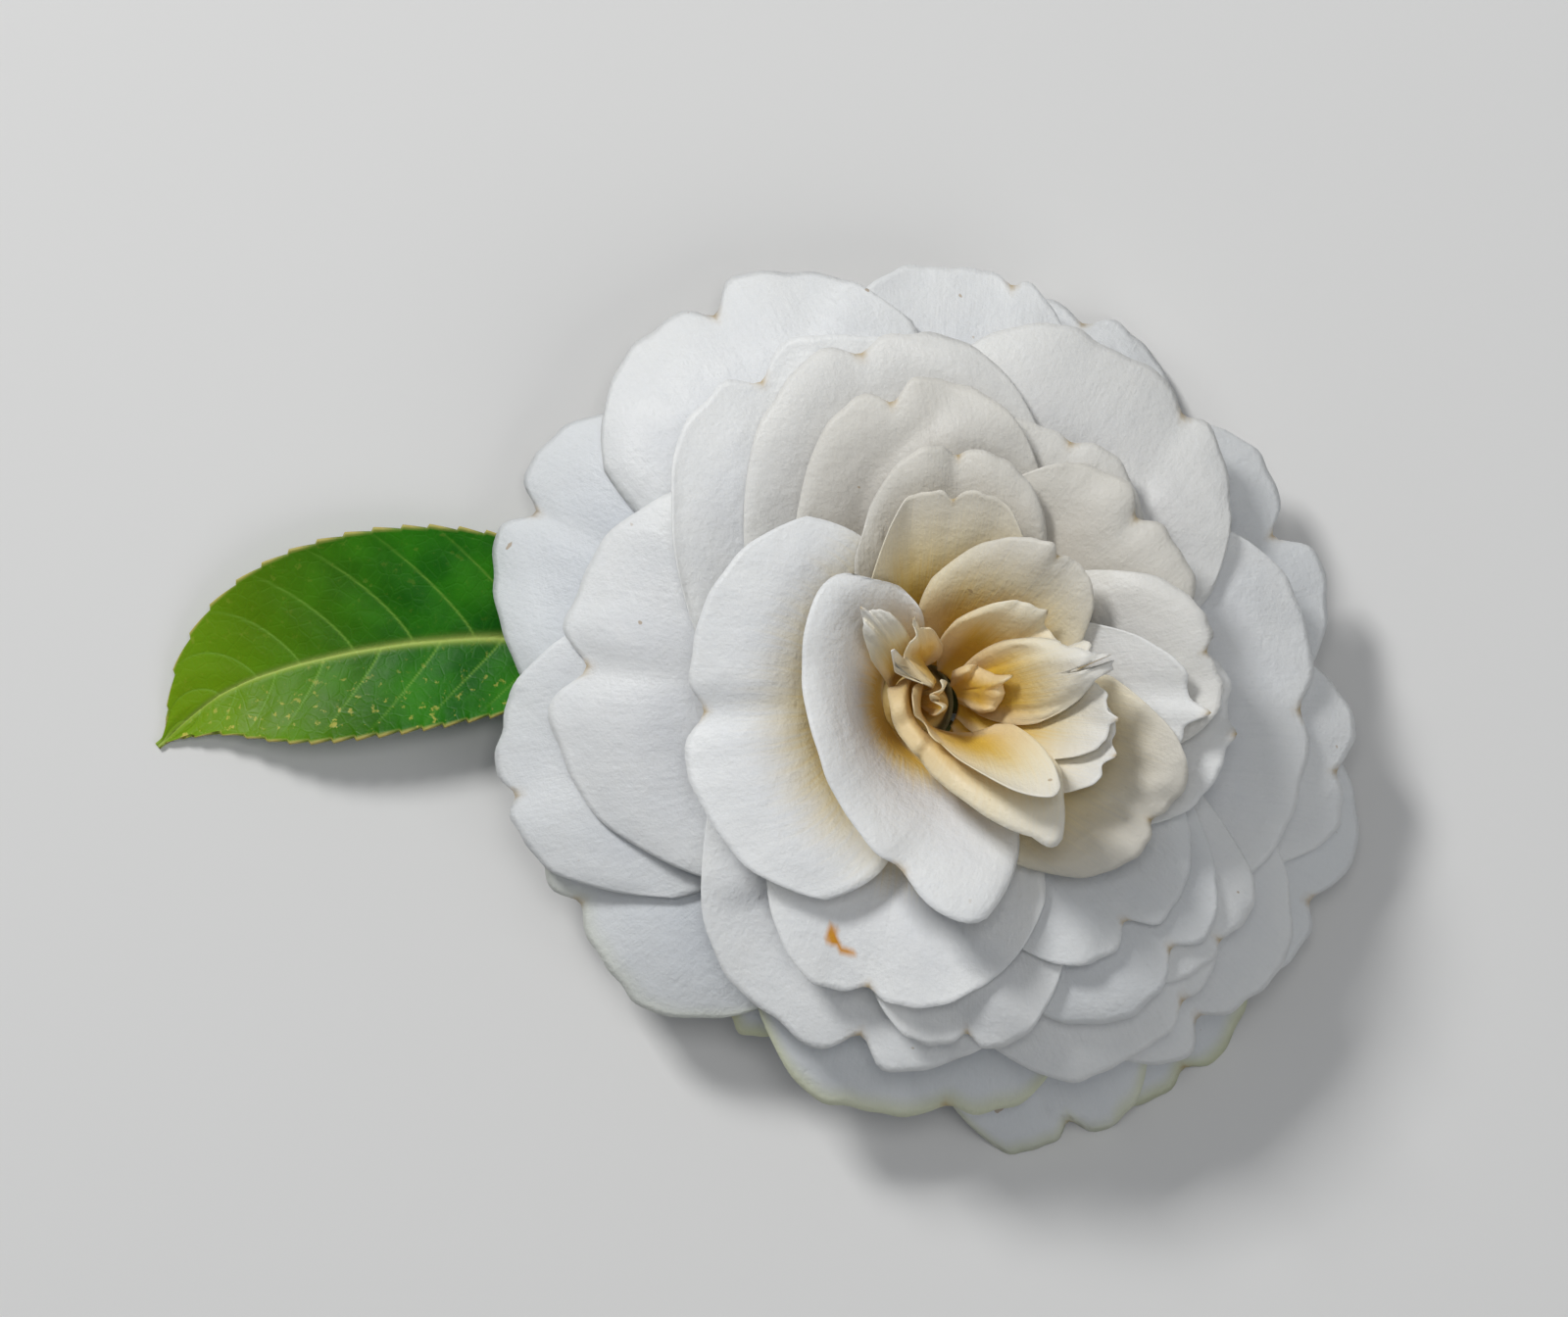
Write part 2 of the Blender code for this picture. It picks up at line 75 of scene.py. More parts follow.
PETALS = {
    "petal_outer_01": petal(-52, 58.5, 40, 0.00, 1.5, tip=0.032),
    "petal_outer_02": petal(-68, 58.5, 31, 0.02, 2.0, tip=0.005),
    "petal_outer_03": petal(-119, 44.5, 27, 0.00, 1.0),
    "petal_outer_04": petal(61, 53.5, 39, 0.00, 2.0, 0.15, tip=-0.030),
    "petal_outer_05": petal(155, 53.5, 42, 0.04, 3.2, -0.10, skew=-0.06, rounding=0.20),
    "petal_outer_06": petal(-23.5, 58, 43, 0.07, 2.5, -0.1, rounding=0.28),
    "petal_outer_07": petal(-142, 49, 42, 0.03, 2.5, -0.25, rounding=0.28),
    "petal_outer_08": petal(24.5, 53.5, 41, 0.06, 3.5, 0.0, rounding=0.20),
    "petal_outer_09": petal(82, 54, 35, 0.05, 1.8, -0.35, rounding=0.28),
    "petal_outer_10": petal(-89, 51, 44, 0.05, 1.8, 0.2, skew=0.05, rounding=0.28),
    "petal_outer_11": petal(116, 55.5, 43, 0.07, 3.4, 0.0, rounding=0.18),
    "petal_outer_12": petal(-9, 55, 32, 0.09, 1.5),
    "petal_outer_13": petal(-169, 50, 37, 0.07, 1.5, 0.1, rounding=0.28),
    "petal_outer_14": petal(-42, 56, 37, 0.10, 3.5, -0.25, side=0.01, rounding=0.25),
    "petal_middle_01": petal(172, 43.5, 56, 0.13, 4.0, 0.05, side=0.03, tip=-0.03, rounding=0.28),
    "petal_middle_02": petal(-1, 48.5, 52, 0.12, 2.5, 0.0, side=0.03, tip=-0.01, rounding=0.24),
    "petal_middle_03": petal(-57, 50, 40, 0.15, 2.0, 0.35, skew=0.02, side=0.02),
    "petal_middle_04": petal(-106, 43.5, 50, 0.14, 3.5, 0.15, skew=0.08, side=0.02),
    "petal_middle_05": petal(57, 49.5, 46, 0.15, 2.5, -0.35, side=0.02, rounding=0.28),
    "petal_middle_06": petal(117, 46, 48, 0.17, 3.0, 0.0, skew=-0.06, side=0.02),
    "petal_middle_07": petal(-39, 46.5, 26, 0.18, 1.0, side=0.02),
    "petal_middle_08": petal(-51, 44, 36, 0.21, 2.5, 0.2, side=0.02),
    "petal_middle_09": petal(100, 44.5, 42, 0.20, 2.5, 0.05, skew=-0.04, side=0.02),
    "petal_middle_10": petal(-84, 41.5, 27, 0.20, 1.5, side=0.02),
    "petal_middle_11": petal(-47, 36.8, 32, 0.26, 2.5, -0.1, side=0.03),
    "petal_middle_12": petal(63, 36, 36, 0.26, 1.0, side=0.02),
    "petal_middle_13": petal(-104, 36.5, 37, 0.25, 1.5, skew=0.03, side=0.03),
    "petal_middle_14": petal(97, 38.5, 33, 0.27, 2.0, 0.1, skew=-0.05, side=0.03),
    "petal_middle_15": petal(-6, 33.5, 28, 0.32, -1.0, side=0.03, tip=0.01),
    "petal_middle_16": petal(43, 34, 34, 0.31, 2.0, 0.05, side=0.03),
    "petal_middle_17": petal(12, 31.5, 26, 0.37, 1.0, side=0.02),
    "petal_middle_18": petal(182, 31.5, 54, 0.34, 3.0, 0.0, side=0.02, tip=-0.04, rounding=0.14),
    "petal_middle_19": petal(88, 30.5, 25, 0.36, 1.0, side=0.03),
    "petal_inner_01": petal(-2, 26.8, 22, 0.43, -2.5, side=0.03),
    "petal_inner_02": petal(-31, 28, 27, 0.45, 1.0, side=0.02),
    "petal_inner_03": petal(92, 25.5, 19, 0.46, 1.0, side=0.02),
    "petal_inner_04": petal(58, 21.5, 21, 0.52, 1.0, side=0.03),
    "petal_inner_05": petal(-157, 18.5, 76, 0.60, 1.5, 0.60,
                            skew=0.10, side=-0.13, rounding=-0.55, power=2.0),
    "petal_inner_06": petal(139, 16.0, 5, 0.68, -1.5),
    "petal_inner_07": petal(-20, 17, 16, 0.64, -0.8, side=0.02),
    "petal_inner_08": petal(-6, 15.8, 12, 0.68, -1.0, side=0.03),
    "petal_inner_09": petal(47, 14.2, 14, 0.64, -1.0, side=0.05),
    "petal_inner_10": petal(20, 13.5, 11, 0.74, -1.0, side=0.03),
    "petal_inner_11": petal(-127, 8.6, 44, 0.84, 0.5,
                            skew=0.50, side=-0.12, rounding=-0.9, power=2.0),
    "petal_inner_12": petal(-127, 6.3, 32, 0.94, 0.5,
                            skew=0.35, side=-0.10, rounding=-0.8, power=2.0),
    "petal_inner_13": petal(30, 5.8, 8, 0.90, -1.0, side=0.02),
    "petal_inner_14": petal(122, 10.0, 6.5, 0.72, -2.0, side=0.02),
    "petal_inner_15": petal(168, 4.2, 7, 1.00, -1.0),
}


# ---- cups ----
def blend(pair, level, power=1.0):
    """Value between a pair, from the outermost to the innermost level."""
    return pair[0] + (pair[1] - pair[0]) * np.where(level > 0, np.abs(level) ** power, level)


def cup_terms(level):
    """Start radius, start height, start slope and bend per millimetre of a cup."""
    level = np.asarray(level, float)
    radius = FOOT_RADIUS + (HEAD_RADIUS - FOOT_RADIUS) * level
    height = FOOT_HEIGHT + HEAD_RISE * level
    start = np.radians(blend(START_SLOPE, level, 0.85))
    end = np.radians(blend(END_SLOPE, level, 0.85))
    return radius, height, start, (start - end) / CUP_ARC


def cup_point(level, arc):
    """Radius and height at an arc length along a cup, a circular arc that flattens outwards."""
    radius, height, start, bend = cup_terms(level)
    slope = start - bend * arc
    out = radius + (np.sin(start) - np.sin(slope)) / bend
    up = height + (np.cos(slope) - np.cos(start)) / bend
    return out, up


def arc_at_radius(level, reach):
    """Arc length at which a cup comes out to a radius."""
    radius, _, start, bend = cup_terms(level)
    sine = np.clip(np.sin(start) - bend * (reach - radius), -0.999, 0.999)
    return (start - np.arcsin(sine)) / bend


def layer_step(level, arc):
    """Change of level that moves a sheet by one petal's spacing, square to the cup."""
    small = 0.01
    spacing = PETAL_SPACING[0] + (PETAL_SPACING[1] - PETAL_SPACING[0]) * np.minimum(arc / SPACING_ARC, 1.0)
    radius_a, height_a = cup_point(level, arc)
    radius_b, height_b = cup_point(level + small, arc)
    _, _, start, bend = cup_terms(level)
    slope = start - bend * arc
    rise = (np.cos(slope) * (height_b - height_a) - np.sin(slope) * (radius_b - radius_a)) / small
    return spacing / np.maximum(rise, 8.0)


def soft_max(a, b, softness):
    """The larger of two values, rounded off where they cross, never under either."""
    return 0.5 * (a + b + np.sqrt((a - b) ** 2 + softness ** 2))


# ---- lift map: the highest level used so far at each azimuth and arc length ----
MAP_AZIMUTHS, MAP_ARCS, MAP_ARC_STEP = 180, 72, 1.0
ARC_SPREAD, SPREAD_CELLS, SMOOTH_CELLS = 2, 1, 1
NEAR_SPREAD, NEAR_ARC = 3, 20.0       # wider spread round the axis close to the foot
MAP_REFINEMENT = 3                    # readings between neighbouring grid points when a petal is recorded


def spread(grid, cells, axis):
    """Grow the map's high places by some cells along one axis."""
    return np.max([shifted(grid, step, axis) for step in range(-cells, cells + 1)], axis=0)


def spread_and_smooth(grid):
    """Grow the map's high places a little, more round the axis near the foot, then soften."""
    near = np.clip(1.0 - np.arange(MAP_ARCS) * MAP_ARC_STEP / NEAR_ARC, 0.0, 1.0)[None, :]
    grown = spread(grid, ARC_SPREAD, 1)
    grown = near * spread(grown, NEAR_SPREAD, 0) + (1 - near) * spread(grown, SPREAD_CELLS, 0)
    for axis in (0, 1):
        stack = [shifted(grown, step, axis) for step in range(-SMOOTH_CELLS, SMOOTH_CELLS + 1)]
        grown = np.mean(stack, axis=0)
    return np.maximum(grown, grid)


def shifted(grid, step, axis):
    """The map moved by some cells: round the axis for azimuth, held at the ends for arc."""
    if axis == 0:
        return np.roll(grid, step, axis=0)
    index = np.clip(np.arange(grid.shape[1]) - step, 0, grid.shape[1] - 1)
    return grid[:, index]


def read_map(grid, azimuth, arc):
    """Bilinear reading of the map."""
    u = np.mod(azimuth / (2 * np.pi), 1.0) * MAP_AZIMUTHS
    v = np.clip(arc / MAP_ARC_STEP, 0, MAP_ARCS - 1.001)
    i, j = np.floor(u).astype(int), np.floor(v).astype(int)
    fu, fv = u - i, v - j
    i, k = i % MAP_AZIMUTHS, (i + 1) % MAP_AZIMUTHS
    low = grid[i, j] * (1 - fu) + grid[k, j] * fu
    high = grid[i, j + 1] * (1 - fu) + grid[k, j + 1] * fu
    return low * (1 - fv) + high * fv


def petal_sheet(spec, lifted, columns, rows, seed, crest):
    """Azimuth, arc length and level of a petal's middle surface on a grid.

    Across runs q from -1 to 1, along runs t from 0 to 1.  The tip outline falls away as |q| to a
    power, less a narrow notch; where it rises towards the sides instead, the corners are cut
    back.  The half width grows from the foot and is full past the middle.
    """
    azimuth, reach, width, level, notch, notch_at, skew, side_rise, tip_rise, rounding, power = spec
    q = np.linspace(-1.0, 1.0, columns + 1)[:, None]
    t = np.linspace(0.0, 1.0, rows + 1)[None, :]
    foot = FOOT_RADIUS * (1 - level)
    end = foot + (reach - foot) * (1 - rounding * np.abs(q) ** power) * (1 + skew * q)
    end = end - notch * np.exp(-((q - notch_at) / NOTCH_HALF_WIDTH) ** 2)
    end = end - CORNER_ROUNDING * max(-rounding, 0.0) * reach * np.abs(q) ** 10
    end = end + scallops(seed, q, reach)
    wanted = level + side_rise * q ** 2 * t + tip_rise * t ** 3
    widening = np.sin(0.5 * np.pi * t ** WIDENING_POWER)
    half_width = 0.5 * (PETAL_FOOT_WIDTH + (width - PETAL_FOOT_WIDTH) * widening)
    detail = margin_detail(seed, q, t, crest)
    current = wanted + 0.0 * q
    for _ in range(4):
        last = np.minimum(arc_at_radius(current[:, -1:], end), blend(LONGEST_ARC, current[:, -1:]))
        arc = PETAL_START + t * (last - PETAL_START)
        radius, _ = cup_point(current, arc)
        around = np.radians(azimuth) + q * half_width / np.maximum(radius, np.maximum(5.0, 0.38 * width * t))
        floor = read_map(lifted, around, arc)
        ruffled = wanted + detail * layer_step(current, arc) / PETAL_SPACING[1]
        current = soft_max(ruffled, floor + layer_step(floor, arc), 0.006)
    return around, arc, current


def add_to_map(grid, around, arc, level):
    """Record a petal's level in the map, from the grid refined between its points."""
    for axis in (0, 1):
        count = (around.shape[axis] - 1) * MAP_REFINEMENT + 1
        at = np.linspace(0, around.shape[axis] - 1, count)
        low = np.minimum(at.astype(int), around.shape[axis] - 2)
        mix = (at - low).reshape((-1, 1) if axis == 0 else (1, -1))
        around, arc, level = [np.take(a, low, axis) * (1 - mix) + np.take(a, low + 1, axis) * mix
                              for a in (around, arc, level)]
    i = np.floor(np.mod(around / (2 * np.pi), 1.0) * MAP_AZIMUTHS).astype(int) % MAP_AZIMUTHS
    j = np.clip(np.floor(arc / MAP_ARC_STEP).astype(int), 0, MAP_ARCS - 1)
    for di in (0, 1):
        for dj in (0, 1):
            np.maximum.at(grid, ((i + di) % MAP_AZIMUTHS, np.minimum(j + dj, MAP_ARCS - 1)), level)


def lean(x, y, z):
    """Lean the bloom: what is above LEAN_FROM moves along +X in proportion to its height."""
    over = z - LEAN_FROM
    return x + LEAN * 0.5 * (over + np.sqrt(over ** 2 + LEAN_SOFTNESS ** 2)), y, z


def petal_points(around, arc, level):
    """Points of the middle surface: the cup, then leaned."""
    radius, height = cup_point(level, arc)
    x, y, z = lean(radius * np.cos(around), radius * np.sin(around), height)
    return np.stack([x + BLOOM_X, y + BLOOM_Y, z], axis=-1)


# ---- leaf, in plan, millimetres ----
LEAF_MIDRIB = ((-14.5, 6.5, 3.4), (-27.0, 8.2, 3.2), (-42.0, 7.6, 3.0), (-56.0, 5.0, 2.6), (-66.0, 1.2, 1.4),
               (-73.9, -5.2, 0.35))   # from the leaf's foot to its tip
LEAF_UPPER_WIDTH, LEAF_LOWER_WIDTH = 14.6, 10.8
LEAF_UPPER_RISE, LEAF_LOWER_RISE = 1.6, 4.4
PETIOLE_ROUTE = ((-14.0, 6.45, 3.4), (-9.5, 5.7, 3.85), (-5.4, 4.4, 4.2))
PETIOLE_RADIUS = 1.1


def smooth_route(points, count):
    """Points along a Catmull-Rom curve through a few route points."""
    knots = np.array(points, float)
    padded = np.vstack([2 * knots[0] - knots[1], knots, 2 * knots[-1] - knots[-2]])
    along = np.linspace(0, len(knots) - 1, count)
    piece = np.minimum(along.astype(int), len(knots) - 2)
    u = (along - piece)[:, None]
    a, b, c, d = (padded[piece + step] for step in range(4))
    bend = (2 * a - 5 * b + 4 * c - d) * u ** 2 + (3 * b - a - 3 * c + d) * u ** 3
    return 0.5 * (2 * b + (c - a) * u + bend)


def leaf_spine(rows):
    """Midrib points, the sideways direction at each and the blade's outline from 0 to 1."""
    rib = smooth_route(LEAF_MIDRIB, rows + 1)
    t = np.linspace(0.0, 1.0, rows + 1)
    outline = np.sin(np.pi * t ** 0.86) ** (0.72 + 0.6 * t ** 5)
    outline = np.maximum(outline, 0.055 - 0.035 * t)
    step = np.gradient(rib, axis=0)[:, :2]
    side = np.stack([step[:, 1], -step[:, 0]], axis=-1) / np.linalg.norm(step, axis=1, keepdims=True)
    return rib, side, outline


# ---- stem end and calyx ----
TWIG_ROUTE = ((16.6, 0.4, 3.1), (13.5, 1.0, 2.2), (8.0, 2.0, 1.95), (1.0, 3.0, 1.9), (-6.0, 2.4, 1.85),
              (-13.0, 0.4, 1.8))
TWIG_RADIUS = 1.75
RECEPTACLE_PROFILE = ((0.0, 28.4), (1.2, 27.8), (1.8, 26.0), (6.3, 9.6), (5.6, 7.6), (3.4, 6.2), (2.2, 5.1),
                      (0.0, 4.9))     # radius and height, from the top down
SEPAL_COUNT = 5
SEPAL_ARC = (4.6, 13.5)               # inner and outer radius of a sepal
SEPAL_HEIGHTS = (5.6, 8.9)
SEPAL_HALF_ANGLE = 33.0
SEPAL_TURN = 20.0


def sepal_sheet(number, across, along):
    """A bract under the bloom: part of a shallow bowl with a rounded outer edge."""
    q = np.linspace(-1.0, 1.0, across + 1)[:, None]
    t = np.linspace(0.0, 1.0, along + 1)[None, :]
    middle = np.radians(SEPAL_TURN + number * 360.0 / SEPAL_COUNT)
    reach = SEPAL_ARC[1] - 3.2 * q ** 2
    radius = SEPAL_ARC[0] + t * (reach - SEPAL_ARC[0])
    angle = middle + q * np.radians(SEPAL_HALF_ANGLE) * (1 - 0.25 * t ** 2)
    rise = (radius - SEPAL_ARC[0]) / (SEPAL_ARC[1] - SEPAL_ARC[0])
    height = SEPAL_HEIGHTS[0] + (SEPAL_HEIGHTS[1] - SEPAL_HEIGHTS[0]) * rise ** 0.8
    x, y, z = lean(radius * np.cos(angle), radius * np.sin(angle), height)
    return np.stack([x + BLOOM_X, y + BLOOM_Y, z + 0.0 * x], axis=-1)


# ---- fine detail of a petal ----
COLUMNS, ROWS = 52, 46
RUFFLE_MM, ROLL_MM, CROWN_MM = 0.85, 1.1, 1.0
SCALLOP_MM = 0.6
CRESTS = {   # crown height of the fullest petals, millimetres
    "petal_middle_18": 3.2, "petal_middle_01": 2.0, "petal_middle_02": 1.8, "petal_middle_03": 1.6,
    "petal_middle_13": 1.8, "petal_middle_10": 1.5, "petal_middle_05": 1.4,
}
LOWEST_LEVEL = -0.2                   # level of the bare lift map, below every petal
REST_HEIGHT, REST_SOFTNESS = 0.2, 0.6   # petals flatten softly to this height above the floor


def scallops(seed, across, reach):
    """Unevenness of the tip outline in millimetres: a sum of four sines across, more on longer petals."""
    noise = np.random.default_rng(500 + seed)
    phase = noise.uniform(0, 2 * np.pi, 4)
    uneven = sum(np.sin(rate * across + shift) * part
                 for rate, part, shift in zip((4.4, 8.6, 16.0, 29.0), (0.9, 0.45, 0.25, 0.2), phase))
    return SCALLOP_MM * uneven * min(reach, 45.0) / 45.0


def margin_detail(seed, across, along, crest):
    """Level change in millimetres: a crown, ruffles and a rolled rim.

    The crown is a sine hump along the petal, highest past the middle.  Ruffles, three sines
    across, grow with the square of the distance along.  The rim, the last few millimetres
    before the outline, bends down, or up on some petals.
    """
    noise = np.random.default_rng(seed)
    phase = noise.uniform(0, 2 * np.pi, 4)
    q, t = across, along
    waves = np.sin(2.6 * q + phase[0]) * 0.8 + np.sin(5.4 * q + phase[1]) * 0.5
    waves = waves + np.sin(11.0 * q + phase[2]) * 0.22 * t ** 3
    length = np.sin(5.5 * t + 2.0 * q + phase[3]) * 0.3
    crown = (crest or noise.uniform(0.4, 1.3)) * np.sin(np.pi * t ** 1.6) * (1 - 0.6 * q ** 2)
    rim = np.clip((np.maximum(np.abs(q), t) - 0.88) / 0.12, 0, 1) ** 2
    roll = noise.uniform(-0.5, 1.4) * rim * t
    return RUFFLE_MM * (waves + length) * t ** 2 + CROWN_MM * crown - ROLL_MM * roll


def bloom():
    """Fine grids of points and arc lengths of every petal, outermost first."""
    lifted = np.full((MAP_AZIMUTHS, MAP_ARCS), LOWEST_LEVEL)
    petals = {}
    for number, (name, spec) in enumerate(PETALS.items()):
        free = spread_and_smooth(lifted)
        around, arc, level = petal_sheet(spec, free, COLUMNS, ROWS, 100 + number, CRESTS.get(name))
        add_to_map(lifted, around, arc, level)
        points = petal_points(around, arc, level)
        points[..., 2] = soft_max(points[..., 2], REST_HEIGHT, REST_SOFTNESS)
        petals[name] = (points, arc)
    return petals


# ---- mesh helpers ----
def grid_mesh(name, points, values=None):
    """An open sheet from a grid of millimetre points, with a UV map and point values."""
    count_a, count_b, _ = points.shape
    index = np.arange(count_a * count_b).reshape(count_a, count_b)
    faces = np.stack([index[:-1, :-1], index[1:, :-1], index[1:, 1:], index[:-1, 1:]], axis=-1)
    faces = faces.reshape(-1, 4)
    mesh = bpy.data.meshes.new(name)
    mesh.from_pydata((points.reshape(-1, 3) * MM).tolist(), [], faces.tolist())
    u, v = np.meshgrid(np.linspace(0, 1, count_a), np.linspace(0, 1, count_b), indexing="ij")
    uv = np.stack([u, v], axis=-1)
    layer = mesh.uv_layers.new(name="sheet")
    layer.data.foreach_set("uv", uv.reshape(-1, 2)[faces.ravel()].astype(np.float32).ravel())
    for key, grid in (values or {}).items():
        attribute = mesh.attributes.new(key, "FLOAT", "POINT")
        spread_out = np.broadcast_to(grid, (count_a, count_b)).astype(np.float32)
        attribute.data.foreach_set("value", spread_out.ravel())
    mesh.shade_smooth()
    mesh.update()
    return mesh


def closed_mesh(name, points):
    """A closed surface from rings of points; the first and last ring shut to a pole."""
    rings, around, _ = points.shape
    index = np.arange(rings * around).reshape(rings, around)
    after = np.roll(index, -1, axis=1)
    faces = np.stack([index[:-1], after[:-1], after[1:], index[1:]], axis=-1).reshape(-1, 4).tolist()
    poles = len(index.ravel())
    everything = np.vstack([points.reshape(-1, 3), points[0].mean(axis=0), points[-1].mean(axis=0)])
    faces += [[poles, b, a] for a, b in zip(index[0], after[0])]
    faces += [[poles + 1, a, b] for a, b in zip(index[-1], after[-1])]
    mesh = bpy.data.meshes.new(name)
    mesh.from_pydata((everything * MM).tolist(), [], faces)
    mesh.attributes.new("dry", "FLOAT", "POINT")   # zero everywhere: only the bracts have a dry edge
    mesh.shade_smooth()
    mesh.update()
    return mesh


def add_piece(mesh, material, slot, *nodes):
    """Put a finished mesh in the scene, riding on the body and standing for its nodes."""
    piece = bpy.data.objects.new(mesh.name, mesh)
    bpy.context.scene.collection.objects.link(piece)
    mesh.materials.append(material)
    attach(piece, "root")
    if nodes:
        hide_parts(*nodes)
    return piece


def give_wall(piece, thickness):
    """Solidify an open sheet to both sides."""
    wall = piece.modifiers.new("wall", "SOLIDIFY")
    wall.thickness = thickness * MM
    wall.offset = 0.0
    wall.use_even_offset = False


# ---- node helpers ----
def new_group(name, inputs, outputs):
    """A shader node group with named float, colour or vector sockets."""
    group = bpy.data.node_groups.new(name, "ShaderNodeTree")
    for label, kind in inputs:
        group.interface.new_socket(label, in_out="INPUT", socket_type=kind)
    for label, kind in outputs:
        group.interface.new_socket(label, in_out="OUTPUT", socket_type=kind)
    return group, group.nodes.new("NodeGroupInput"), group.nodes.new("NodeGroupOutput")


def join(tree, out_socket, in_socket):
    """Link two sockets."""
    tree.links.new(out_socket, in_socket)


def add_math(tree, operation, a, b):
    """A Math node fed with sockets or numbers."""
    node = tree.nodes.new("ShaderNodeMath")
    node.operation = operation
    for socket, value in zip(node.inputs, (a, b)):
        if isinstance(value, (int, float)):
            socket.default_value = value
        else:
            join(tree, value, socket)
    return node.outputs[0]


def add_ramp(tree, value, low, high, to_low=0.0, to_high=1.0):
    """A smooth Map Range of a value."""
    node = tree.nodes.new("ShaderNodeMapRange")
    node.interpolation_type = "SMOOTHSTEP"
    join(tree, value, node.inputs["Value"])
    node.inputs["From Min"].default_value = low
    node.inputs["From Max"].default_value = high
    node.inputs["To Min"].default_value = to_low
    node.inputs["To Max"].default_value = to_high
    return node.outputs["Result"]


def add_mix(tree, factor, a, b):
    """A colour Mix node fed with sockets, numbers or colours."""
    node = tree.nodes.new("ShaderNodeMix")
    node.data_type = "RGBA"
    for socket, value in ((node.inputs[0], factor), (node.inputs[6], a), (node.inputs[7], b)):
        if isinstance(value, (int, float)):
            socket.default_value = value
        elif isinstance(value, tuple):
            socket.default_value = (*value, 1.0)
        else:
            join(tree, value, socket)
    return node.outputs[2]


def add_noise(tree, vector, scale, detail=3.0, roughness=0.55):
    """A Noise texture value."""
    node = tree.nodes.new("ShaderNodeTexNoise")
    node.inputs["Scale"].default_value = scale
    node.inputs["Detail"].default_value = detail
    node.inputs["Roughness"].default_value = roughness
    join(tree, vector, node.inputs["Vector"])
    return node.outputs["Fac"]


def add_value(tree, name):
    """A point value stored on the mesh."""
    node = tree.nodes.new("ShaderNodeAttribute")
    node.attribute_type = "GEOMETRY"
    node.attribute_name = name
    return node.outputs["Fac"]


def stretched(tree, vector, scale):
    """A Mapping node that scales a vector."""
    node = tree.nodes.new("ShaderNodeMapping")
    node.inputs["Scale"].default_value = scale
    join(tree, vector, node.inputs["Vector"])
    return node.outputs["Vector"]


def add_bump(tree, height, distance, strength, normal=None):
    """A Bump node of a height in metres."""
    node = tree.nodes.new("ShaderNodeBump")
    node.inputs["Strength"].default_value = strength
    node.inputs["Distance"].default_value = distance
    join(tree, height, node.inputs["Height"])
    if normal is not None:
        join(tree, normal, node.inputs["Normal"])
    return node.outputs["Normal"]


def new_material(name, roughness, specular):
    """A Principled material; the shader stays in the material itself."""
    material = bpy.data.materials.new(name)
    material.use_nodes = True
    shader = material.node_tree.nodes["Principled BSDF"]
    shader.inputs["Roughness"].default_value = roughness
    shader.inputs["Specular IOR Level"].default_value = specular
    return material, material.node_tree, shader


# ---- shared effects ----
def make_fibre_group():
    """Fine lines along a sheet and soft blotches: a line value and a blotch value."""
    group, entry, leave = new_group(
        "petal_fibres",
        [("Sheet", "NodeSocketVector"), ("Across", "NodeSocketFloat"), ("Along", "NodeSocketFloat")],
        [("Lines", "NodeSocketFloat"), ("Blotches", "NodeSocketFloat")])
    combine = group.nodes.new("ShaderNodeCombineXYZ")
    join(group, entry.outputs["Across"], combine.inputs[0])
    join(group, entry.outputs["Along"], combine.inputs[1])
    combine.inputs[2].default_value = 1.0
    product = group.nodes.new("ShaderNodeVectorMath")
    product.operation = "MULTIPLY"
    join(group, entry.outputs["Sheet"], product.inputs[0])
    join(group, combine.outputs[0], product.inputs[1])
    lines = add_noise(group, product.outputs[0], 1.0, 4.0, 0.6)
    texture = group.nodes.new("ShaderNodeTexCoord")
    blotches = add_noise(group, texture.outputs["Object"], 160.0, 3.0, 0.5)
    join(group, lines, leave.inputs["Lines"])
    join(group, blotches, leave.inputs["Blotches"])
    return group


def use_group(tree, group, **values):
    """Place a group and set its inputs."""
    node = tree.nodes.new("ShaderNodeGroup")
    node.node_tree = group
    for label, value in values.items():
        if isinstance(value, (int, float)):
            node.inputs[label].default_value = value
        else:
            join(tree, value, node.inputs[label])
    return node


# ---- materials ----
PETAL_WHITE = (0.80, 0.81, 0.82)
PETAL_SHADE = (0.66, 0.69, 0.74)
PETAL_SHADOW_GREY = (0.56, 0.60, 0.65)
# blue-grey painted shade for the outer petals that lie in shadow
PETAL_IVORY_SHADE = (0.52, 0.46, 0.36)
# ivory darkened to taupe: the centre petals' own tone with painted shade mixed in
PETAL_CREAM = (0.82, 0.66, 0.32)
PETAL_GOLD = (0.72, 0.42, 0.02)
TIP_BROWN = (0.42, 0.26, 0.05)
SPECK_BROWN = (0.40, 0.28, 0.16)
POLLEN_ORANGE = (0.62, 0.24, 0.005)
LINE_GREY = (0.56, 0.58, 0.60)
# painted light: paler tips and margins, where the petals catch more light
RIM_PAINTED_LIGHT = (0.88, 0.88, 0.82)
RIM_GREEN = (0.56, 0.58, 0.22)
GOLD_FRINGE = 7.0                     # how far the fine lines carry the gold out and in, millimetres


